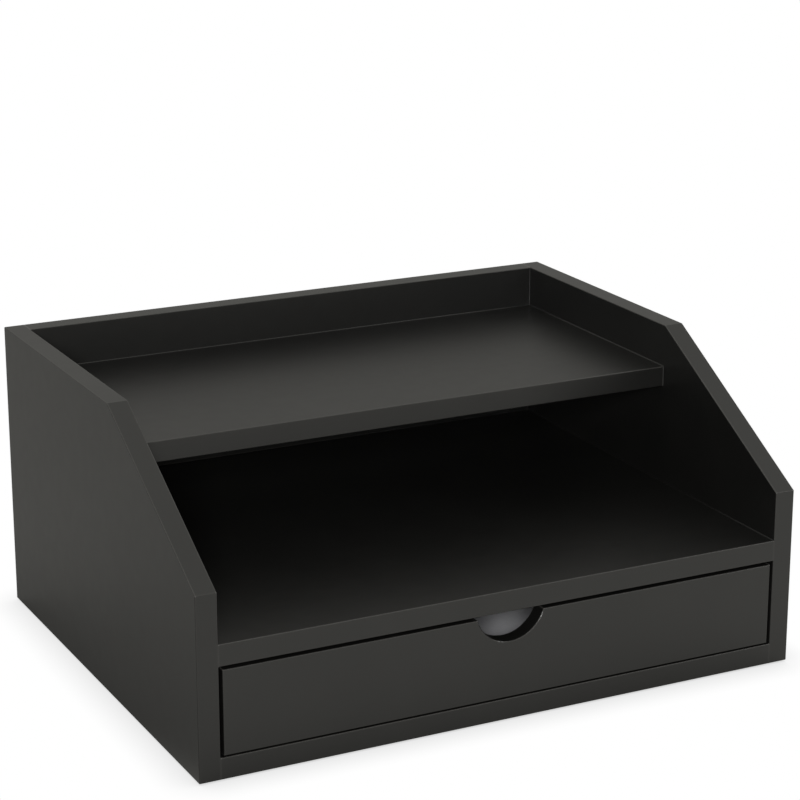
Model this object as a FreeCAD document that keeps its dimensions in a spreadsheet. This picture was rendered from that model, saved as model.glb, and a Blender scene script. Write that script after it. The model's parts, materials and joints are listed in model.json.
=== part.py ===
# Two-tier desk organizer with one drawer, built the way a joiner builds it: flat boards with
# square butt joints, held by hidden wooden dowels, and a drawer box that runs on the bottom board.
# Units are millimetres, +Z is up and the front faces -Y. The origin is on the table top, under the
# middle of the organizer.
import FreeCAD, Part
import os
import re
import Sketcher

# ---------------------------------------------------------------- driving dimensions

SIZES = {
    # carcass
    "overall_width": 360,            # across the outer faces of the two sides
    "overall_depth": 290,            # front edges to the rear face of the back
    "board": 12,                     # stock thickness of every carcass board
    "drawer_bay_height": 50,         # clear height of the drawer's bay
    "middle_bay_height": 59,         # clear height between the two shelves
    "rim_height": 25,                # how far the sides and back stand above the upper shelf
    "side_front_rise": 28,           # upright front edge of a side above the middle shelf
    "slope_run": 118,                # depth over which the sides slope up to their full height
    "arris_radius": 0.5,             # every exposed edge is eased by this much before lacquering
    "pad_thickness": 1,              # stick-on pads that the organizer stands on
    "pad_diameter": 20,
    "pad_inset": 32,                 # pad centre to the outer faces
    # dowels of the carcass
    "dowel_diameter": 6,
    "dowel_length": 30,
    "dowel_chamfer": 0.8,
    "dowel_wall": 4,                 # wood left behind a dowel hole in a board's face
    "dowel_end_gap": 0.5,            # air at each end of a dowel
    "dowel_glue_gap": 0.1,           # glue all round a dowel
    "shelf_dowel_inset": 40,         # first and last dowel to the ends of a side joint
    "upright_dowel_inset": 35,       # first and last dowel to the ends of an upright joint
    "rear_dowel_inset": 60,          # first and last dowel to the ends of a joint with the back
    # drawer
    "front_side_gap": 2,             # drawer front to the sides
    "front_top_gap": 2,              # drawer front to the middle shelf
    "front_bottom_gap": 1,           # drawer front to the bottom board
    "run_gap": 0.2,                  # running clearance under the drawer's sides
    "side_top_gap": 2.8,             # drawer's sides to the middle shelf
    "rear_gap": 0.3,                 # drawer's rear to the back when it is shut
    "front_thickness": 10,
    "drawer_side_thickness": 10,
    "drawer_back_thickness": 10,
    "panel_thickness": 3,            # thin panel that forms the drawer's bottom
    "panel_play": 0.1,               # panel to each face of its groove
    "panel_end_play": 0.3,           # panel to the floor of its groove
    "groove_depth": 5,
    "groove_rise": 6,                # lower edge of a drawer side to its groove
    "notch_width": 40,               # finger notch in the drawer front's upper edge
    "notch_depth": 15,
    # dowels and screws of the drawer
    "drawer_dowel_diameter": 5,
    "drawer_dowel_length": 20,
    "drawer_dowel_chamfer": 0.6,
    "drawer_dowel_wall": 4,          # wood left behind a dowel hole in the front or a side
    "lower_dowel_rise": 6.8,         # upper face of the groove to the lower dowel's axis
    "upper_dowel_drop": 9,           # top of a drawer side to the upper dowel's axis
    "screw_diameter": 3,
    "screw_length": 14,
    "screw_head_diameter": 5.6,
    "screw_point": 2,                # length of the screw's point
    "screw_gap": 0.1,                # screw to the wall of its hole, all round
    "screw_inset": 40,               # first and last screw to the drawer's sides
    "recess_width": 0.7,             # arms of the cross recess in a screw's head
    "recess_span": 3,
    "recess_depth": 1,
}

SHELF_DOWEL_COUNT = 3                     # on each side of the bottom board and the middle shelf
UPPER_DOWEL_COUNT = 2                     # on each side of the upper shelf
UPRIGHT_DOWEL_COUNT = 3                   # on each side of the back
REAR_DOWEL_COUNT = 3                      # where a board meets the back
CORNER_DOWEL_COUNT = 2                    # at each corner of the drawer
PANEL_SCREW_COUNT = 3                     # through the panel into the drawer's back

# What follows from the driving dimensions. Each drawer height counts from the lower edge of the
# drawer's sides, and each drawer depth from the drawer front's face.
FORMULAS = {
    "inner_width": "overall_width - 2 * board",
    "inner_depth": "overall_depth - board",
    "middle_level": "board + drawer_bay_height",
    "upper_level": "middle_level + board + middle_bay_height",
    "side_height": "upper_level + board + rim_height",
    "front_height": "middle_level + board + side_front_rise",
    "upper_depth": "inner_depth - slope_run",
    "dowel_hole": "dowel_diameter + 2 * dowel_glue_gap",
    "face_hole_depth": "board - dowel_wall",
    "end_hole_depth": "dowel_length + 2 * dowel_end_gap - face_hole_depth",
    "drawer_width": "inner_width - 2 * front_side_gap",
    "front_board_height": "drawer_bay_height - front_top_gap - front_bottom_gap",
    "front_lift": "front_bottom_gap - run_gap",
    "drawer_side_height": "drawer_bay_height - run_gap - side_top_gap",
    "drawer_depth": "inner_depth - rear_gap",
    "drawer_side_length": "drawer_depth - front_thickness",
    "drawer_inner_width": "drawer_width - 2 * drawer_side_thickness",
    "groove_width": "panel_thickness + 2 * panel_play",
    "panel_level": "groove_rise + panel_play",
    "panel_width": "drawer_inner_width + 2 * (groove_depth - panel_end_play)",
    "panel_front": "front_thickness - groove_depth + panel_end_play",
    "panel_depth": "drawer_depth - panel_front",
    "back_level": "panel_level + panel_thickness",
    "drawer_back_height": "drawer_side_height - back_level",
    "back_front": "drawer_depth - drawer_back_thickness",
    "notch_radius": "(notch_width * notch_width / 4 + notch_depth * notch_depth)"
                    " / (2 * notch_depth)",
    "drawer_dowel_hole": "drawer_dowel_diameter + 2 * dowel_glue_gap",
    "front_hole_depth": "front_thickness - drawer_dowel_wall",
    "side_hole_depth": "drawer_side_thickness - drawer_dowel_wall",
    "front_end_hole_depth": "drawer_dowel_length + 2 * dowel_end_gap - front_hole_depth",
    "back_end_hole_depth": "drawer_dowel_length + 2 * dowel_end_gap - side_hole_depth",
    "lower_dowel_level": "groove_rise + groove_width + lower_dowel_rise",
    "upper_dowel_level": "drawer_side_height - upper_dowel_drop",
    "screw_hole": "screw_diameter + 2 * screw_gap",
    "countersink": "(screw_head_diameter - screw_diameter) / 2",
    "left": "-overall_width / 2",
    "front": "-overall_depth / 2",
    "drawer_left": "left + board + front_side_gap",
    "drawer_base": "pad_thickness + board + run_gap",
}

TOLERANCE = 1e-4

doc = FreeCAD.newDocument("desk_organizer")
sheet = doc.addObject("Spreadsheet::Sheet", "Sizes")
for row, (alias, number) in enumerate(SIZES.items(), 1):
    sheet.set(f"A{row}", alias)
    sheet.set(f"B{row}", str(number))
    sheet.setAlias(f"B{row}", alias)
doc.recompute()


def bound(formula):
    """Spell a formula out in references to the spreadsheet's cells."""
    def spell(match):
        word = match.group(0)
        if word in FORMULAS:
            return "(" + bound(FORMULAS[word]) + ")"
        return "Sizes." + word if word in SIZES else word
    return re.sub(r"[a-z_]+", spell, formula)


def value(formula):
    """The number that a formula gives now."""
    return float(sheet.evalExpression(bound(formula)))


# ---------------------------------------------------------------- sketches and features


def origin_feature(body, role):
    return next(item for item in body.Origin.OriginFeatures if item.Role == role)


def new_sketch(body, name, plane, level="0"):
    """A sketch parallel to one of the body's origin planes, level along that plane's normal."""
    sketch = body.newObject("Sketcher::SketchObject", f"{body.Label}_{name}")
    sketch.AttachmentSupport = [(origin_feature(body, plane), "")]
    sketch.MapMode = "FlatFace"
    if level != "0":
        sketch.setExpression("AttachmentOffset.Base.z", bound(level))
    return sketch


def dimension(sketch, kind, where, formula):
    """A dimensional constraint that follows a formula."""
    index = sketch.addConstraint(Sketcher.Constraint(kind, *where, value(formula)))
    sketch.setExpression(f"Constraints[{index}]", bound(formula))


def fix_point(sketch, geometry, point, across, up):
    """Dimension one point of the sketch from its origin, or put it on an axis where that is 0."""
    if across == "0":
        sketch.addConstraint(Sketcher.Constraint("PointOnObject", geometry, point, -2))
    else:
        dimension(sketch, "DistanceX", (-1, 1, geometry, point), across)
    if up == "0":
        sketch.addConstraint(Sketcher.Constraint("PointOnObject", geometry, point, -1))
    else:
        dimension(sketch, "DistanceY", (-1, 1, geometry, point), up)


def draw_outline(sketch, corners):
    """A closed outline of straight lines, with every corner dimensioned."""
    points = [FreeCAD.Vector(value(across), value(up), 0) for across, up in corners]
    lines = [sketch.addGeometry(Part.LineSegment(start, end), False)
             for start, end in zip(points, points[1:] + points[:1])]
    for line, following in zip(lines, lines[1:] + lines[:1]):
        sketch.addConstraint(Sketcher.Constraint("Coincident", line, 2, following, 1))
    for line, (across, up) in zip(lines, corners):
        fix_point(sketch, line, 1, across, up)


def draw_rectangle(sketch, left, low, right, high):
    draw_outline(sketch, [(left, low), (right, low), (right, high), (left, high)])


def draw_circle(sketch, across, up, diameter):
    centre = FreeCAD.Vector(value(across), value(up), 0)
    circle = Part.Circle(centre, FreeCAD.Vector(0, 0, 1), value(diameter) / 2)
    index = sketch.addGeometry(circle, False)
    fix_point(sketch, index, 3, across, up)
    dimension(sketch, "Diameter", (index,), diameter)


def pad(body, sketch, length, reverse=False):
    feature = body.newObject("PartDesign::Pad", sketch.Name + "_pad")
    feature.Profile = sketch
    feature.Reversed = reverse
    feature.setExpression("Length", bound(length))
    doc.recompute()
    return feature


def pocket(body, sketch, depth, reverse=False):
    """Cut the sketch into the body, against the sketch's normal or, reversed, along it."""
    before = body.Shape.Volume
    feature = body.newObject("PartDesign::Pocket", sketch.Name + "_cut")
    feature.Profile = sketch
    feature.Reversed = reverse
    feature.setExpression("Length", bound(depth))
    doc.recompute()
    if body.Shape.Volume > before - TOLERANCE:
        raise ValueError(f"{feature.Name} cuts nothing")
    return feature


def dress_edges(body, kind, name, wanted, dimension_name, size):
    """Fillet or chamfer every edge of the body whose bounding box passes a test."""
    base = body.Tip
    names = [f"Edge{number}" for number, edge in enumerate(base.Shape.Edges, 1)
             if wanted(edge.BoundBox)]
    feature = body.newObject(kind, f"{body.Label}_{name}")
    feature.Base = (base, names)
    feature.setExpression(dimension_name, bound(size))
    doc.recompute()


def ease(body, wanted):
    """Round the chosen edges by the arris radius."""
    dress_edges(body, "PartDesign::Fillet", "arris", wanted, "Radius", "arris_radius")


def near(number, formula):
    return abs(number - value(formula)) < TOLERANCE


def along_x(box, y, z):
    """The edge lies along X at these values of Y and Z."""
    return near(box.YMin, y) and near(box.YMax, y) and near(box.ZMin, z) and near(box.ZMax, z)


def along_y(box, x, z):
    """The edge lies along Y at these values of X and Z."""
    return near(box.XMin, x) and near(box.XMax, x) and near(box.ZMin, z) and near(box.ZMax, z)


# ---------------------------------------------------------------- pieces


pieces = []


def new_piece(label, x, y, z, turn=0):
    """A Body placed in the organizer's frame, turned about its own +Z."""
    body = doc.addObject("PartDesign::Body", label)
    body.Label = label
    body.Placement.Rotation = FreeCAD.Rotation(FreeCAD.Vector(0, 0, 1), turn)
    for axis, formula in (("x", x), ("y", y), ("z", z)):
        body.setExpression(f"Placement.Base.{axis}", bound(formula))
    pieces.append(body)
    return body


def board(label, place, width, depth, height):
    """A rectangular board with one corner at its own origin."""
    body = new_piece(label, *place)
    sketch = new_sketch(body, "outline", "XY_Plane")
    draw_rectangle(sketch, "0", "0", width, depth)
    pad(body, sketch, height)
    return body


def row_places(count, inset, length):
    """Positions of a row that keeps the inset from both ends of a joint."""
    return [f"{inset} + ({length} - 2 * {inset}) * {index} / {count - 1}" for index in range(count)]


def drill(body, name, plane, level, centres, diameter, depth, reverse=False):
    """A group of blind holes from one plane."""
    sketch = new_sketch(body, name, plane, level)
    for across, up in centres:
        draw_circle(sketch, across, up, diameter)
    return pocket(body, sketch, depth, reverse)


def drill_ends(body, length, centres, diameter, depth):
    """The same holes in both ends of a board that lies along X."""
    drill(body, "left_holes", "YZ_Plane", "0", centres, diameter, depth, reverse=True)
    drill(body, "right_holes", "YZ_Plane", length, centres, diameter, depth)


def side_panel(label, hand):
    """A full-depth side. Its outer face is on its own YZ plane, and hand is the way to the inside."""
    right = hand < 0
    outer = "left + overall_width" if right else "left"
    inner = "-board" if right else "board"
    body = new_piece(label, outer, "front", "pad_thickness")
    sketch = new_sketch(body, "outline", "YZ_Plane")
    draw_outline(sketch, [("0", "0"), ("overall_depth", "0"), ("overall_depth", "side_height"),
                          ("slope_run", "side_height"), ("0", "front_height")])
    pad(body, sketch, "board", reverse=right)

    def exposed(box):
        on_inner_face = near(box.XMin, inner) and near(box.XMax, inner)
        meets_board = near(box.ZMax, "0") or near(box.YMin, "overall_depth")
        return not (on_inner_face and meets_board)

    ease(body, exposed)
    add_lands(body, right)
    shelf_rows = [
        ("board / 2", row_places(SHELF_DOWEL_COUNT, "shelf_dowel_inset", "inner_depth")),
        ("middle_level + board / 2", row_places(SHELF_DOWEL_COUNT, "shelf_dowel_inset", "inner_depth")),
    ]
    centres = [(place, level) for level, row in shelf_rows for place in row]
    for place in row_places(UPPER_DOWEL_COUNT, "shelf_dowel_inset", "upper_depth"):
        centres.append((f"slope_run + {place}", "upper_level + board / 2"))
    for place in row_places(UPRIGHT_DOWEL_COUNT, "upright_dowel_inset", "side_height"):
        centres.append(("inner_depth + board / 2", place))
    drill(body, "holes", "YZ_Plane", inner, centres, "dowel_hole", "face_hole_depth", reverse=right)
    return body


def add_lands(body, right):
    """Keep the inner edge square where another board ends flush with it."""
    low, high = ("-board", "arris_radius - board") if right else ("board - arris_radius", "board")
    front = new_sketch(body, "front_lands", "XZ_Plane")
    draw_rectangle(front, low, "arris_radius", high, "board")
    draw_rectangle(front, low, "middle_level", high, "middle_level + board")
    pad(body, front, "arris_radius", reverse=True)
    top = new_sketch(body, "top_land", "XY_Plane", "side_height - arris_radius")
    draw_rectangle(top, low, "inner_depth", high, "overall_depth - arris_radius")
    pad(body, top, "arris_radius")


def shelf(label, level, setback, depth, count):
    """A board between the sides, eased along its front and dowelled at its ends and its rear."""
    body = board(label, ("left + board", f"front + {setback}", f"pad_thickness + {level}"),
                 "inner_width", depth, "board")
    ease(body, lambda box: along_x(box, "0", "0") or along_x(box, "0", "board"))
    ends = [(place, "board / 2") for place in row_places(count, "shelf_dowel_inset", depth)]
    drill_ends(body, "inner_width", ends, "dowel_hole", "end_hole_depth")
    rear = [(place, "board / 2")
            for place in row_places(REAR_DOWEL_COUNT, "rear_dowel_inset", "inner_width")]
    drill(body, "rear_holes", "XZ_Plane", f"-({depth})", rear, "dowel_hole", "end_hole_depth",
          reverse=True)
    return body


def back_panel():
    """The back, as high as the sides and between them."""
    body = board("back_panel", ("left + board", "front + inner_depth", "pad_thickness"),
                 "inner_width", "board", "side_height")
    ease(body, lambda box: along_x(box, "0", "side_height") or along_x(box, "board", "side_height")
         or along_x(box, "board", "0"))
    ends = [("board / 2", place)
            for place in row_places(UPRIGHT_DOWEL_COUNT, "upright_dowel_inset", "side_height")]
    drill_ends(body, "inner_width", ends, "dowel_hole", "end_hole_depth")
    places = row_places(REAR_DOWEL_COUNT, "rear_dowel_inset", "inner_width")
    levels = ["board / 2", "middle_level + board / 2", "upper_level + board / 2"]
    centres = [(place, level) for level in levels for place in places]
    drill(body, "face_holes", "XZ_Plane", "0", centres, "dowel_hole", "face_hole_depth")
    return body


def dowel_row(label, size, place, count, span, direction, turn=0):
    """Chamfered dowels that lie along their own +X, repeated along another axis of the Body."""
    length, radius, chamfer = f"{size}_length", f"{size}_diameter / 2", f"{size}_chamfer"
    body = new_piece(label, *place, turn)
    sketch = new_sketch(body, "half_section", "XY_Plane")
    draw_outline(sketch, [("0", "0"), (length, "0"), (length, f"{radius} - {chamfer}"),
                          (f"{length} - {chamfer}", radius), (chamfer, radius),
                          ("0", f"{radius} - {chamfer}")])
    turned = body.newObject("PartDesign::Revolution", f"{label}_dowel")
    turned.Profile = sketch
    turned.ReferenceAxis = (sketch, ["H_Axis"])
    turned.Angle = 360
    repeat(body, turned, count, span, direction)
    return body


def repeat(body, feature, count, span, direction):
    """Repeat a feature evenly over a span."""
    doc.recompute()
    row = body.newObject("PartDesign::LinearPattern", f"{body.Label}_row")
    row.Originals = [feature]
    row.Direction = (origin_feature(body, direction), [""])
    row.setExpression("Length", bound(span))
    row.Occurrences = count
    body.Tip = row
    doc.recompute()


def side_dowels(name, level, setback, depth, count):
    """The dowels between a shelf and each of the two sides."""
    sides = {
        "left": "left + dowel_wall + dowel_end_gap",
        "right": "left + overall_width - dowel_wall - dowel_end_gap - dowel_length",
    }
    for side, x in sides.items():
        place = (x, f"front + {setback} + shelf_dowel_inset", f"pad_thickness + {level} + board / 2")
        dowel_row(f"{name}_{side}_dowels", "dowel", place, count,
                  f"{depth} - 2 * shelf_dowel_inset", "Y_Axis")


def back_dowels():
    """The dowels between the back and each of the two sides."""
    sides = {
        "left": "left + dowel_wall + dowel_end_gap",
        "right": "left + overall_width - dowel_wall - dowel_end_gap - dowel_length",
    }
    for side, x in sides.items():
        place = (x, "front + inner_depth + board / 2", "pad_thickness + upright_dowel_inset")
        dowel_row(f"back_{side}_dowels", "dowel", place, UPRIGHT_DOWEL_COUNT,
                  "side_height - 2 * upright_dowel_inset", "Z_Axis")


def rear_dowels(name, level):
    """The dowels between a board and the back. They lie along -Y from inside the back."""
    place = ("left + board + rear_dowel_inset",
             "front + inner_depth + face_hole_depth - dowel_end_gap",
             f"pad_thickness + {level} + board / 2")
    dowel_row(f"{name}_rear_dowels", "dowel", place, REAR_DOWEL_COUNT,
              "inner_width - 2 * rear_dowel_inset", "Y_Axis", turn=-90)


def foot_pads():
    """Four round pads stuck under the bottom board."""
    body = new_piece("foot_pads", "left", "front", "0")
    sketch = new_sketch(body, "outline", "XY_Plane")
    for across in ("pad_inset", "overall_width - pad_inset"):
        for up in ("pad_inset", "overall_depth - pad_inset"):
            draw_circle(sketch, across, up, "pad_diameter")
    pad(body, sketch, "pad_thickness")


# ---------------------------------------------------------------- drawer pieces


def drawer_front():
    """The drawer front with its finger notch, dowel holes and the groove for the thin panel."""
    body = board("drawer_front", ("drawer_left", "front", "drawer_base + front_lift"),
                 "drawer_width", "front_thickness", "front_board_height")
    notch = new_sketch(body, "notch", "XZ_Plane")
    draw_circle(notch, "drawer_width / 2", "front_board_height + notch_radius - notch_depth",
                "2 * notch_radius")
    pocket(body, notch, "front_thickness")

    def exposed(box):
        on_face = near(box.YMax, "0")
        behind = near(box.YMin, "front_thickness") and near(box.ZMax, "front_board_height")
        return on_face or (behind and box.XLength > TOLERANCE)

    ease(body, exposed)
    groove = new_sketch(body, "groove", "XZ_Plane", "-front_thickness")
    groove_end = "drawer_side_thickness - groove_depth"
    low = "groove_rise - front_lift"
    draw_rectangle(groove, groove_end, low, f"drawer_width - ({groove_end})", f"{low} + groove_width")
    pocket(body, groove, "groove_depth", reverse=True)
    centres = [(across, f"{level} - front_lift")
               for across in ("drawer_side_thickness / 2", "drawer_width - drawer_side_thickness / 2")
               for level in ("lower_dowel_level", "upper_dowel_level")]
    drill(body, "holes", "XZ_Plane", "-front_thickness", centres, "drawer_dowel_hole",
          "front_hole_depth", reverse=True)


def drawer_side(label, right):
    """A drawer side, grooved along its inner face."""
    x = "drawer_left + drawer_width - drawer_side_thickness" if right else "drawer_left"
    body = board(label, (x, "front + front_thickness", "drawer_base"),
                 "drawer_side_thickness", "drawer_side_length", "drawer_side_height")
    ease(body, lambda box: along_y(box, "0", "drawer_side_height")
         or along_y(box, "drawer_side_thickness", "drawer_side_height"))
    inner = "0" if right else "drawer_side_thickness"
    groove = new_sketch(body, "groove", "YZ_Plane", inner)
    draw_rectangle(groove, "0", "groove_rise", "drawer_side_length", "groove_rise + groove_width")
    pocket(body, groove, "groove_depth", reverse=right)
    levels = ("lower_dowel_level", "upper_dowel_level")
    ends = [("drawer_side_thickness / 2", level) for level in levels]
    drill(body, "front_holes", "XZ_Plane", "0", ends, "drawer_dowel_hole", "front_end_hole_depth")
    rear = "drawer_side_length - drawer_back_thickness / 2"
    drill(body, "rear_holes", "YZ_Plane", inner, [(rear, level) for level in levels],
          "drawer_dowel_hole", "side_hole_depth", reverse=right)


def drawer_back():
    """The drawer's back, between its sides and on top of the thin panel."""
    place = ("drawer_left + drawer_side_thickness", "front + back_front", "drawer_base + back_level")
    body = board("drawer_back", place, "drawer_inner_width", "drawer_back_thickness",
                 "drawer_back_height")
    ease(body, lambda box: along_x(box, "0", "drawer_back_height")
         or along_x(box, "drawer_back_thickness", "drawer_back_height"))
    centres = [("drawer_back_thickness / 2", f"{level} - back_level")
               for level in ("lower_dowel_level", "upper_dowel_level")]
    drill_ends(body, "drawer_inner_width", centres, "drawer_dowel_hole", "back_end_hole_depth")
    screws = [(place, "drawer_back_thickness / 2")
              for place in row_places(PANEL_SCREW_COUNT, "screw_inset", "drawer_inner_width")]
    drill(body, "screw_holes", "XY_Plane", "0", screws, "screw_hole",
          "screw_length + screw_gap - panel_thickness", reverse=True)


def drawer_bottom():
    """The thin panel in the drawer's grooves, screwed up into the drawer's back from below."""
    side_inset = "(groove_depth - panel_end_play)"
    place = (f"drawer_left + drawer_side_thickness - {side_inset}", "front + panel_front",
             "drawer_base + panel_level")
    body = board("drawer_bottom", place, "panel_width", "panel_depth", "panel_thickness")
    screws = [(f"{side_inset} + {place}", "panel_depth - drawer_back_thickness / 2")
              for place in row_places(PANEL_SCREW_COUNT, "screw_inset", "drawer_inner_width")]
    drill(body, "screw_holes", "XY_Plane", "0", screws, "screw_hole", "panel_thickness", reverse=True)
    dress_edges(body, "PartDesign::Chamfer", "countersinks",
                lambda box: near(box.ZMax, "0") and near(box.XLength, "screw_hole"),
                "Size", "countersink")


def drawer_screws():
    """Countersunk screws with a cross recess, pointing up from the thin panel's lower face."""
    body = new_piece("drawer_bottom_screws", "drawer_left + drawer_side_thickness + screw_inset",
                     "front + drawer_depth - drawer_back_thickness / 2", "drawer_base + panel_level")
    shank, head = "screw_diameter / 2", "screw_head_diameter / 2"
    section = new_sketch(body, "half_section", "XZ_Plane")
    draw_outline(section, [("0", "0"), (head, "0"), (shank, "countersink"),
                           (shank, "screw_length - screw_point"), ("0", "screw_length")])
    turned = body.newObject("PartDesign::Revolution", "drawer_bottom_screws_screw")
    turned.Profile = section
    turned.ReferenceAxis = (section, ["V_Axis"])
    turned.Angle = 360
    doc.recompute()
    cuts = [turned]
    for name, width, height in (("long", "recess_span", "recess_width"),
                                ("cross", "recess_width", "recess_span")):
        arm = new_sketch(body, name, "XY_Plane")
        draw_rectangle(arm, f"-{width} / 2", f"-{height} / 2", f"{width} / 2", f"{height} / 2")
        cuts.append(pocket(body, arm, "recess_depth", reverse=True))
    row = body.newObject("PartDesign::LinearPattern", "drawer_bottom_screws_row")
    row.Originals = cuts
    row.Direction = (origin_feature(body, "X_Axis"), [""])
    row.setExpression("Length", bound("drawer_inner_width - 2 * screw_inset"))
    row.Occurrences = PANEL_SCREW_COUNT
    body.Tip = row
    doc.recompute()


def drawer_dowels():
    """The dowels at the drawer's four corners."""
    span = "upper_dowel_level - lower_dowel_level"
    level = "drawer_base + lower_dowel_level"
    centre_lines = {
        "left": "drawer_left + drawer_side_thickness / 2",
        "right": "drawer_left + drawer_width - drawer_side_thickness / 2",
    }
    front_y = "front + drawer_dowel_wall + dowel_end_gap + drawer_dowel_length"
    for side, x in centre_lines.items():
        dowel_row(f"drawer_front_{side}_dowels", "drawer_dowel", (x, front_y, level),
                  CORNER_DOWEL_COUNT, span, "Z_Axis", turn=-90)
    starts = {
        "left": "drawer_left + drawer_dowel_wall + dowel_end_gap",
        "right": "drawer_left + drawer_width - drawer_dowel_wall - dowel_end_gap"
                 " - drawer_dowel_length",
    }
    back_y = "front + drawer_depth - drawer_back_thickness / 2"
    for side, x in starts.items():
        dowel_row(f"drawer_back_{side}_dowels", "drawer_dowel", (x, back_y, level),
                  CORNER_DOWEL_COUNT, span, "Z_Axis")


# ---------------------------------------------------------------- assembly

side_panel("left_side_panel", 1)
side_panel("right_side_panel", -1)
back_panel()
shelf("bottom_panel", "0", "0", "inner_depth", SHELF_DOWEL_COUNT)
shelf("middle_shelf", "middle_level", "0", "inner_depth", SHELF_DOWEL_COUNT)
shelf("upper_shelf", "upper_level", "slope_run", "upper_depth", UPPER_DOWEL_COUNT)
side_dowels("bottom", "0", "0", "inner_depth", SHELF_DOWEL_COUNT)
side_dowels("middle", "middle_level", "0", "inner_depth", SHELF_DOWEL_COUNT)
side_dowels("upper", "upper_level", "slope_run", "upper_depth", UPPER_DOWEL_COUNT)
back_dowels()
rear_dowels("bottom", "0")
rear_dowels("middle", "middle_level")
rear_dowels("upper", "upper_level")
foot_pads()
drawer_front()
drawer_side("drawer_left_side", right=False)
drawer_side("drawer_right_side", right=True)
drawer_back()
drawer_bottom()
drawer_screws()
drawer_dowels()

# ---------------------------------------------------------------- checks and files

doc.recompute()
for item in doc.Objects:
    if "Invalid" in item.State or "Error" in item.State:
        raise RuntimeError(f"{item.Name} failed: {item.State}")
for piece in pieces:
    if piece.Shape.isNull() or not piece.Shape.isValid():
        raise RuntimeError(f"{piece.Label} has no valid shape")

os.makedirs("parts", exist_ok=True)
for piece in pieces:
    piece.Shape.exportStep(os.path.join("parts", piece.Label + ".step"))
    print(f"{piece.Label}: {len(piece.Shape.Solids)} solids, {piece.Shape.Volume:.1f} mm3")
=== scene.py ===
"""Looks, studio and camera for the two-tier desk organizer with one drawer. Metres, +Z up."""

import json
import math

import bmesh
import bpy
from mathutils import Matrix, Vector


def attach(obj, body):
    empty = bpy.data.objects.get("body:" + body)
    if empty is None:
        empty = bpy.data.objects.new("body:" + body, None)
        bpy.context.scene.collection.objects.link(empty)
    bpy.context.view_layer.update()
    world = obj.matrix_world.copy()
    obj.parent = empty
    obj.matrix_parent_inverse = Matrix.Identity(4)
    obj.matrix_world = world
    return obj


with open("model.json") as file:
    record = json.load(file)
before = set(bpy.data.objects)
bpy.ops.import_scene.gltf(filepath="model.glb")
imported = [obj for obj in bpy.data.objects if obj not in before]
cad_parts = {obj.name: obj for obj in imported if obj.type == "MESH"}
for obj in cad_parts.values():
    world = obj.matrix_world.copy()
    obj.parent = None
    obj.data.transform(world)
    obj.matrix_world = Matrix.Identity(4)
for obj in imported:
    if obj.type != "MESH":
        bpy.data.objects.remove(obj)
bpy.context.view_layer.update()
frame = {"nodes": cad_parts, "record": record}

# ---------------------------------------------------------------- camera values

CAMERA_PLACE = Vector((-0.6065, -1.2160, 0.5535))
CAMERA_YAW = 0.4673                 # to the right of straight ahead, in radians
CAMERA_PITCH = 0.2948               # below the horizon, in radians
CAMERA_LENS = 111.8                 # in millimetres, as the sensor's width
SENSOR_WIDTH = 36.0
CAMERA_CLIP = (0.05, 60.0)

# ---------------------------------------------------------------- organizer values, in metres

WIDTH = 0.360
DEPTH = 0.290
HEIGHT = 0.171                      # with its foot pads
PAD = 0.001
BOARD = 0.012
DRAWER_BAY = 0.050                  # clear height between the bottom board and the middle shelf
RIM = 0.025                         # how far the sides and the back stand above the upper shelf
SLOPE_RUN = 0.118                   # the sides slope over this depth, and the upper shelf is behind it
DRAWER_WALL = 0.010
DRAWER_SIDE_GAP = 0.002
DRAWER_REAR_GAP = 0.0003
DRAWER_TOP_GAP = 0.0028             # above the drawer's sides
DRAWER_PANEL_RISE = 0.0093          # from the bottom board to the upper face of the thin panel
LINE_END = 0.0006                   # a line of lacquer stops this far short of a rounded outer edge

FRONT_Y = -DEPTH / 2
SHELF_FRONT_Y = FRONT_Y + SLOPE_RUN
INNER_X = WIDTH / 2 - BOARD         # inner faces of the two sides
BACK_Y = DEPTH / 2 - BOARD          # inner face of the back
BAY_Z = PAD + BOARD                 # top of the bottom board
BAY_TOP_Z = BAY_Z + DRAWER_BAY
MIDDLE_Z = BAY_TOP_Z + BOARD        # top of the middle shelf
TRAY_Z = HEIGHT - RIM               # top of the upper shelf
COMPARTMENT_TOP_Z = TRAY_Z - BOARD
DRAWER_INNER_X = INNER_X - DRAWER_SIDE_GAP - DRAWER_WALL
DRAWER_FRONT_Y = FRONT_Y + DRAWER_WALL
DRAWER_BACK_Y = BACK_Y - DRAWER_REAR_GAP - DRAWER_WALL
DRAWER_PANEL_Z = BAY_Z + DRAWER_PANEL_RISE
DRAWER_TOP_Z = BAY_TOP_Z - DRAWER_TOP_GAP

# ---------------------------------------------------------------- lines of lacquer in the corners

HANDS = (-1, 1)                     # left and right
FORWARD = (0, -1, 0)
REARWARD = (0, 1, 0)
UP = (0, 0, 1)
DOWN = (0, 0, -1)
PAINT_RADIUS = 0.0006
PAINT_SINK = 0.0001                 # how far a fillet's flat sides sit inside the boards
PAINT_STEPS = 5

# ---------------------------------------------------------------- material values

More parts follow.
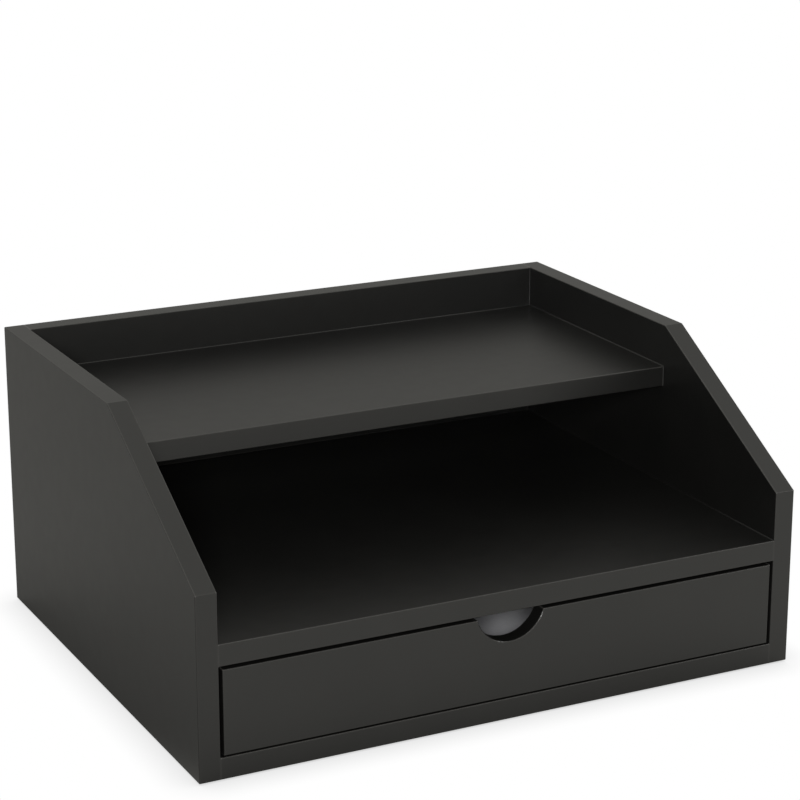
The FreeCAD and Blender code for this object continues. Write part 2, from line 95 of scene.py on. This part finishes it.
LACQUER_COLORS = ((0.0062, 0.0061, 0.0056), (0.0072, 0.0071, 0.0065))
LACQUER_ROUGHNESS = (0.342, 0.358)
LACQUER_SPECULAR = 0.45
EDGE_HIGHLIGHT_COLOR = (0.084, 0.081, 0.075)  # painted highlight along outer edges
EDGE_REACH = 0.0009                 # how far in from an outer edge it goes
EDGE_FULL = 0.55                    # share of open rays, inside the part, where the painted highlight is full
EDGE_FACING = (0.0, 0.6, 0.12, 1.0)  # upward part of an edge's normal from and to, and how much painted highlight it gets at each
EDGE_SAMPLES = 12
PANEL_COLORS = ((0.562, 0.562, 0.582), (0.608, 0.608, 0.628))
PANEL_ROUGHNESS = 0.6
BEECH_COLORS = ((0.42, 0.27, 0.15), (0.62, 0.44, 0.28))
BEECH_ROUGHNESS = 0.65
GRAIN_STRETCH = (0.15, 1.0, 1.0)
FOAM_COLORS = ((0.010, 0.010, 0.010), (0.024, 0.024, 0.023))
FOAM_ROUGHNESS = 0.85
ZINC_COLORS = ((0.56, 0.56, 0.54), (0.66, 0.66, 0.65))
ZINC_ROUGHNESS = (0.22, 0.4)
NOISE_SPAN = (0.3, 0.7)             # most of a noise texture's values

# ---------------------------------------------------------------- studio values

WHITE = (1.0, 1.0, 1.0)
ROOM_WHITE = (1.0, 0.99, 0.925)     # the room as the lacquer mirrors it
FLOOR_SIZE = 30.0
FLOOR_SHADE = (0.8, 0.8, 0.8, 1.0)
CONTACT_SHADOW_REACH = 0.022
CONTACT_SHADOW_DEPTH = 0.36
MIRRORED_SHADOW_REACH = 0.15
# The floor as the lacquer mirrors it: a coordinate from and to, and the brightness at each.
FRONT_POOL_Y = (-0.2, 0.0, 0.94, 0.39)
FRONT_POOL_SETBACK = (-0.21, -0.17, 0.14, 0.0)  # how much farther forward it ends, by X
REAR_POOL_X = (-0.1, 0.15, 0.0, 1.0)
REAR_POOL_Y = (0.45, 0.85, 0.95, 0.0)
ROOM_BY_HEIGHT = (0.4, 0.95, 0.41, 1.0)  # upward part of a direction from and to, and brightness
DOME_STRENGTH = 0.31                # what the white surroundings give as diffuse light
SOFTBOX_AIM = Vector((0.0, -0.145, 0.05))
SOFTBOX_DISTANCE = 2.4
SOFTBOX_SIZE = 0.5
MAIN_DIRECTION = CAMERA_PLACE - SOFTBOX_AIM
MAIN_POWER = 42.0
SIDE_DIRECTION = Vector((0.8, -0.35, 0.5))
SIDE_POWER = 20.0


# ---------------------------------------------------------------- tools for node trees


def new_material(name):
    """A material with a Principled shader, and its node tree."""
    material = bpy.data.materials.new(name)
    material.use_nodes = True
    tree = material.node_tree
    tree.nodes.clear()
    output = tree.nodes.new("ShaderNodeOutputMaterial")
    shader = tree.nodes.new("ShaderNodeBsdfPrincipled")
    tree.links.new(shader.outputs["BSDF"], output.inputs["Surface"])
    return material, tree, shader


def feed(tree, socket, value):
    """Give a socket another node's output, a colour of three numbers or a plain number."""
    if isinstance(value, bpy.types.NodeSocket):
        tree.links.new(value, socket)
    elif isinstance(value, tuple):
        socket.default_value = (*value, 1.0)
    else:
        socket.default_value = value


def object_coordinates(tree):
    return tree.nodes.new("ShaderNodeTexCoord").outputs["Object"]


def noise(tree, vector, scale, detail=2.0, roughness=0.5):
    node = tree.nodes.new("ShaderNodeTexNoise")
    node.inputs["Scale"].default_value = scale
    node.inputs["Detail"].default_value = detail
    node.inputs["Roughness"].default_value = roughness
    tree.links.new(vector, node.inputs["Vector"])
    return node.outputs["Fac"]


def map_values(tree, value, span):
    """Map a value smoothly from the span's first two numbers to its last two."""
    node = tree.nodes.new("ShaderNodeMapRange")
    node.interpolation_type = "SMOOTHSTEP"
    for name, number in zip(("From Min", "From Max", "To Min", "To Max"), span):
        node.inputs[name].default_value = number
    tree.links.new(value, node.inputs["Value"])
    return node.outputs["Result"]


def spread(tree, value, low=0.0, high=1.0):
    """Spread a noise value over a range."""
    return map_values(tree, value, (*NOISE_SPAN, low, high))


def blend(tree, kind, sockets, values):
    """Mix two values by a factor. The sockets are the factor's, the two values' and the result's."""
    node = tree.nodes.new("ShaderNodeMix")
    node.data_type = kind
    for index, value in zip(sockets, values):
        feed(tree, node.inputs[index], value)
    return node.outputs[sockets[-1]]


def blend_values(tree, factor, first, second):
    """A number that goes from the first to the second."""
    return blend(tree, "FLOAT", (0, 2, 3, 0), (factor, first, second))


def blend_colors(tree, factor, first, second):
    """A colour that goes from the first to the second."""
    return blend(tree, "RGBA", (0, 6, 7, 2), (factor, first, second))


def calculate(tree, operation, first, second):
    node = tree.nodes.new("ShaderNodeMath")
    node.operation = operation
    tree.links.new(first, node.inputs[0])
    tree.links.new(second, node.inputs[1])
    return node.outputs["Value"]


def bump(tree, height, strength, distance):
    node = tree.nodes.new("ShaderNodeBump")
    node.inputs["Strength"].default_value = strength
    node.inputs["Distance"].default_value = distance
    tree.links.new(height, node.inputs["Height"])
    return node.outputs["Normal"]


# ---------------------------------------------------------------- materials


def painted_edge_highlight(tree):
    """Painted highlight: strongest on outer edges that face up, none on flat faces."""
    inside = tree.nodes.new("ShaderNodeAmbientOcclusion")
    inside.inside = True
    inside.only_local = True
    inside.samples = EDGE_SAMPLES
    inside.inputs["Distance"].default_value = EDGE_REACH
    facing = tree.nodes.new("ShaderNodeSeparateXYZ")
    tree.links.new(tree.nodes.new("ShaderNodeTexCoord").outputs["Normal"], facing.inputs["Vector"])
    edge = map_values(tree, inside.outputs["AO"], (1.0, EDGE_FULL, 0.0, 1.0))
    return calculate(tree, "MULTIPLY", edge, map_values(tree, facing.outputs["Z"], EDGE_FACING))


def black_lacquer(name, edge_highlight):
    """Sprayed satin lacquer on MDF, with or without a painted highlight along its outer edges."""
    material, tree, shader = new_material(name)
    vector = object_coordinates(tree)
    cloud = spread(tree, noise(tree, vector, scale=30.0, detail=3.0))
    color = blend_colors(tree, cloud, *LACQUER_COLORS)
    if edge_highlight:
        # painted highlight along the outer edges, strongest where they face up
        color = blend_colors(tree, painted_edge_highlight(tree), color, EDGE_HIGHLIGHT_COLOR)
    haze = noise(tree, vector, scale=120.0, detail=3.0)
    peel = noise(tree, vector, scale=900.0, detail=1.0)
    feed(tree, shader.inputs["Base Color"], color)
    feed(tree, shader.inputs["Roughness"], spread(tree, haze, *LACQUER_ROUGHNESS))
    feed(tree, shader.inputs["Specular IOR Level"], LACQUER_SPECULAR)
    feed(tree, shader.inputs["Normal"], bump(tree, peel, strength=0.12, distance=0.00006))
    return material


def grey_panel():
    """Thin hardboard with a smooth light grey face."""
    material, tree, shader = new_material("drawer_panel")
    vector = object_coordinates(tree)
    fibres = spread(tree, noise(tree, vector, scale=700.0, detail=6.0, roughness=0.7))
    grain = noise(tree, vector, scale=1500.0)
    feed(tree, shader.inputs["Base Color"], blend_colors(tree, fibres, *PANEL_COLORS))
    feed(tree, shader.inputs["Roughness"], PANEL_ROUGHNESS)
    feed(tree, shader.inputs["Normal"], bump(tree, grain, strength=0.15, distance=0.00005))
    return material


def beech():
    """Bare beech dowels, with short fine grain."""
    material, tree, shader = new_material("beech")
    stretch = tree.nodes.new("ShaderNodeMapping")
    stretch.inputs["Scale"].default_value = GRAIN_STRETCH
    tree.links.new(object_coordinates(tree), stretch.inputs["Vector"])
    vector = stretch.outputs["Vector"]
    grain = spread(tree, noise(tree, vector, scale=900.0, detail=4.0, roughness=0.6))
    feed(tree, shader.inputs["Base Color"], blend_colors(tree, grain, *BEECH_COLORS))
    feed(tree, shader.inputs["Roughness"], BEECH_ROUGHNESS)
    feed(tree, shader.inputs["Normal"], bump(tree, grain, strength=0.2, distance=0.0001))
    return material


def foam_rubber():
    """Matt black foam of the stick-on pads."""
    material, tree, shader = new_material("foot_pad")
    cells = noise(tree, object_coordinates(tree), scale=2500.0)
    feed(tree, shader.inputs["Base Color"], blend_colors(tree, spread(tree, cells), *FOAM_COLORS))
    feed(tree, shader.inputs["Roughness"], FOAM_ROUGHNESS)
    feed(tree, shader.inputs["Normal"], bump(tree, cells, strength=0.5, distance=0.0001))
    return material


def zinc_plate():
    """Bright zinc on the small screws."""
    material, tree, shader = new_material("screw_steel")
    cloud = noise(tree, object_coordinates(tree), scale=1200.0, detail=3.0)
    feed(tree, shader.inputs["Base Color"], blend_colors(tree, spread(tree, cloud), *ZINC_COLORS))
    feed(tree, shader.inputs["Roughness"], spread(tree, cloud, *ZINC_ROUGHNESS))
    shader.inputs["Metallic"].default_value = 1.0
    return material


def dress_nodes():
    """Give every CAD node the material of its slot in the record."""
    made = {
        "black_lacquer": black_lacquer("black_lacquer", edge_highlight=True),
        "drawer_panel": grey_panel(),
        "beech": beech(),
        "foot_pad": foam_rubber(),
        "screw_steel": zinc_plate(),
    }
    for part in frame["record"]["subparts"]:
        node = frame["nodes"][part["node"]]
        node.data.materials.clear()
        node.data.materials.append(made[part["material_slot"]])


def add_object(name, data):
    item = bpy.data.objects.new(name, data)
    bpy.context.scene.collection.objects.link(item)
    return item


# ---------------------------------------------------------------- lacquer in the inner corners


def fillet_section():
    """The outline of a concave fillet, as distances out along its corner's two faces."""
    points = [(-PAINT_SINK, -PAINT_SINK), (PAINT_RADIUS, -PAINT_SINK)]
    for step in range(PAINT_STEPS + 1):
        angle = math.pi / 2 * step / PAINT_STEPS
        points.append((PAINT_RADIUS * (1 - math.sin(angle)), PAINT_RADIUS * (1 - math.cos(angle))))
    return points + [(-PAINT_SINK, PAINT_RADIUS)]


def corner_line(mesh, start, end, first, second):
    """A thin fillet along an inner corner. The last two values point out along its two faces."""
    first, second = Vector(first), Vector(second)
    rings = [[mesh.verts.new(Vector(place) + first * a + second * b) for a, b in fillet_section()]
             for place in (start, end)]
    for index in range(len(rings[0])):
        following = (index + 1) % len(rings[0])
        mesh.faces.new((rings[0][index], rings[0][following], rings[1][following], rings[1][index]))
    mesh.faces.new(rings[0])
    mesh.faces.new(rings[1])


def paint_piece(name, body, lines, material):
    """One piece for the lacquer that has gathered along several inner corners."""
    mesh = bmesh.new()
    for line in lines:
        corner_line(mesh, *line)
    bmesh.ops.recalc_face_normals(mesh, faces=mesh.faces)
    data = bpy.data.meshes.new(name)
    mesh.to_mesh(data)
    mesh.free()
    data.materials.append(material)
    item = add_object(name, data)
    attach(item, body)


def tray_lines():
    """Round the upper shelf, up the rear corners and beside the shelf's front edge."""
    lines = [((-INNER_X, BACK_Y, TRAY_Z), (INNER_X, BACK_Y, TRAY_Z), FORWARD, UP)]
    for hand in HANDS:
        x, inward = hand * INNER_X, (-hand, 0, 0)
        shelf_edge = (x, SHELF_FRONT_Y, COMPARTMENT_TOP_Z), (x, SHELF_FRONT_Y, TRAY_Z)
        lines += [
            ((x, SHELF_FRONT_Y, TRAY_Z), (x, BACK_Y, TRAY_Z), inward, UP),
            ((x, BACK_Y, TRAY_Z), (x, BACK_Y, HEIGHT - LINE_END), inward, FORWARD),
            (*shelf_edge, inward, FORWARD),
        ]
    return lines


def compartment_lines():
    """Along the floor, the ceiling and the rear corners of the open compartment."""
    lines = []
    for z, way in ((MIDDLE_Z, UP), (COMPARTMENT_TOP_Z, DOWN)):
        lines.append(((-INNER_X, BACK_Y, z), (INNER_X, BACK_Y, z), FORWARD, way))
    for hand in HANDS:
        x, inward = hand * INNER_X, (-hand, 0, 0)
        ceiling = (x, SHELF_FRONT_Y, COMPARTMENT_TOP_Z), (x, BACK_Y, COMPARTMENT_TOP_Z)
        lines += [
            ((x, FRONT_Y + LINE_END, MIDDLE_Z), (x, BACK_Y, MIDDLE_Z), inward, UP),
            (*ceiling, inward, DOWN),
            ((x, BACK_Y, MIDDLE_Z), (x, BACK_Y, COMPARTMENT_TOP_Z), inward, FORWARD),
        ]
    return lines


def bay_lines():
    """Along the sides of the drawer's bay, below and above."""
    return [((hand * INNER_X, FRONT_Y + LINE_END, z), (hand * INNER_X, BACK_Y, z), (-hand, 0, 0), way)
            for hand in HANDS for z, way in ((BAY_Z, UP), (BAY_TOP_Z, DOWN))]


def drawer_lines():
    """Up the four inner corners of the drawer."""
    return [((hand * DRAWER_INNER_X, y, DRAWER_PANEL_Z),
             (hand * DRAWER_INNER_X, y, DRAWER_TOP_Z - LINE_END), (-hand, 0, 0), way)
            for hand in HANDS for y, way in ((DRAWER_FRONT_Y, REARWARD), (DRAWER_BACK_Y, FORWARD))]


def paint_lines(material):
    """Lacquer gathered where two boards meet at a right angle."""
    paint_piece("upper_tray_paint_lines", "carcass", tray_lines(), material)
    paint_piece("middle_compartment_paint_lines", "carcass", compartment_lines(), material)
    paint_piece("drawer_bay_paint_lines", "carcass", bay_lines(), material)
    paint_piece("drawer_paint_lines", "drawer", drawer_lines(), material)


# ---------------------------------------------------------------- studio


def openness(tree, reach):
    """1 in the open, and less where something stands within the reach."""
    node = tree.nodes.new("ShaderNodeAmbientOcclusion")
    node.inputs["Distance"].default_value = reach
    return node.outputs["AO"]


def seen_by_camera(tree, path):
    """1 for what the camera sees, straight or through something clear."""
    return calculate(tree, "MAXIMUM", path.outputs["Is Camera Ray"],
                     path.outputs["Is Transmission Ray"])


def mirrored_floor(tree):
    """The floor's brightness as the lacquer mirrors it: two pools of light round the organizer."""
    place = tree.nodes.new("ShaderNodeSeparateXYZ")
    tree.links.new(object_coordinates(tree), place.inputs["Vector"])
    setback = map_values(tree, place.outputs["X"], FRONT_POOL_SETBACK)
    front = map_values(tree, calculate(tree, "ADD", place.outputs["Y"], setback), FRONT_POOL_Y)
    rear = calculate(tree, "MULTIPLY", map_values(tree, place.outputs["X"], REAR_POOL_X),
                     map_values(tree, place.outputs["Y"], REAR_POOL_Y))
    return calculate(tree, "MULTIPLY", calculate(tree, "MAXIMUM", front, rear),
                     openness(tree, MIRRORED_SHADOW_REACH))


def floor_material():
    """Pure white to the camera, apart from the organizer's soft contact shadow."""
    material = bpy.data.materials.new("floor")
    material.use_nodes = True
    tree = material.node_tree
    tree.nodes.clear()
    path = tree.nodes.new("ShaderNodeLightPath")
    mirrored = path.outputs["Is Glossy Ray"]
    contact = blend_values(tree, CONTACT_SHADOW_DEPTH, 1.0, openness(tree, CONTACT_SHADOW_REACH))
    shown = tree.nodes.new("ShaderNodeEmission")
    feed(tree, shown.inputs["Strength"], blend_values(tree, mirrored, contact, mirrored_floor(tree)))
    feed(tree, shown.inputs["Color"], blend_colors(tree, mirrored, WHITE, ROOM_WHITE))
    lit = tree.nodes.new("ShaderNodeBsdfDiffuse")
    lit.inputs["Color"].default_value = FLOOR_SHADE
    mix = tree.nodes.new("ShaderNodeMixShader")
    feed(tree, mix.inputs["Fac"], calculate(tree, "MAXIMUM", seen_by_camera(tree, path), mirrored))
    tree.links.new(lit.outputs["BSDF"], mix.inputs[1])
    tree.links.new(shown.outputs["Emission"], mix.inputs[2])
    output = tree.nodes.new("ShaderNodeOutputMaterial")
    tree.links.new(mix.outputs["Shader"], output.inputs["Surface"])
    return material


def floor():
    """A pale table top under the organizer."""
    bpy.ops.mesh.primitive_plane_add(size=FLOOR_SIZE)
    plane = bpy.context.object
    plane.name = "floor"
    plane.data.materials.append(floor_material())


def surroundings():
    """A white room with its brightest part overhead. It lights the organizer from everywhere."""
    world = bpy.data.worlds.new("studio")
    bpy.context.scene.world = world
    world.use_nodes = True
    tree = world.node_tree
    path = tree.nodes.new("ShaderNodeLightPath")
    mirrored = path.outputs["Is Glossy Ray"]
    direction = tree.nodes.new("ShaderNodeSeparateXYZ")
    tree.links.new(tree.nodes.new("ShaderNodeTexCoord").outputs["Generated"],
                   direction.inputs["Vector"])
    room = map_values(tree, direction.outputs["Z"], ROOM_BY_HEIGHT)
    strength = blend_values(tree, mirrored, DOME_STRENGTH, room)
    background = tree.nodes["Background"]
    feed(tree, background.inputs["Strength"],
         blend_values(tree, seen_by_camera(tree, path), strength, 1.0))
    feed(tree, background.inputs["Color"], blend_colors(tree, mirrored, WHITE, ROOM_WHITE))


def softbox(name, direction, power, only_highlights=False):
    """A round softbox that looks at the organizer's front from the given direction."""
    data = bpy.data.lights.new(name, "AREA")
    data.shape = "DISK"
    data.size = SOFTBOX_SIZE
    data.energy = power
    item = add_object(name, data)
    item.location = SOFTBOX_AIM + direction.normalized() * SOFTBOX_DISTANCE
    item.rotation_euler = direction.to_track_quat("Z", "Y").to_euler()
    item.visible_diffuse = not only_highlights


def camera():
    """The camera, looking down at the organizer from the front left."""
    data = bpy.data.cameras.new("camera")
    data.sensor_width = SENSOR_WIDTH
    data.lens = CAMERA_LENS
    data.clip_start, data.clip_end = CAMERA_CLIP
    item = add_object("camera", data)
    item.location = CAMERA_PLACE
    item.rotation_euler = (math.pi / 2 - CAMERA_PITCH, 0.0, -CAMERA_YAW)
    bpy.context.scene.camera = item


camera()
dress_nodes()
paint_lines(black_lacquer("gathered_lacquer", edge_highlight=False))
floor()
surroundings()
softbox("main_softbox", MAIN_DIRECTION, MAIN_POWER)
softbox("side_softbox", SIDE_DIRECTION, SIDE_POWER, only_highlights=True)
bpy.context.scene.view_settings.view_transform = "Standard"
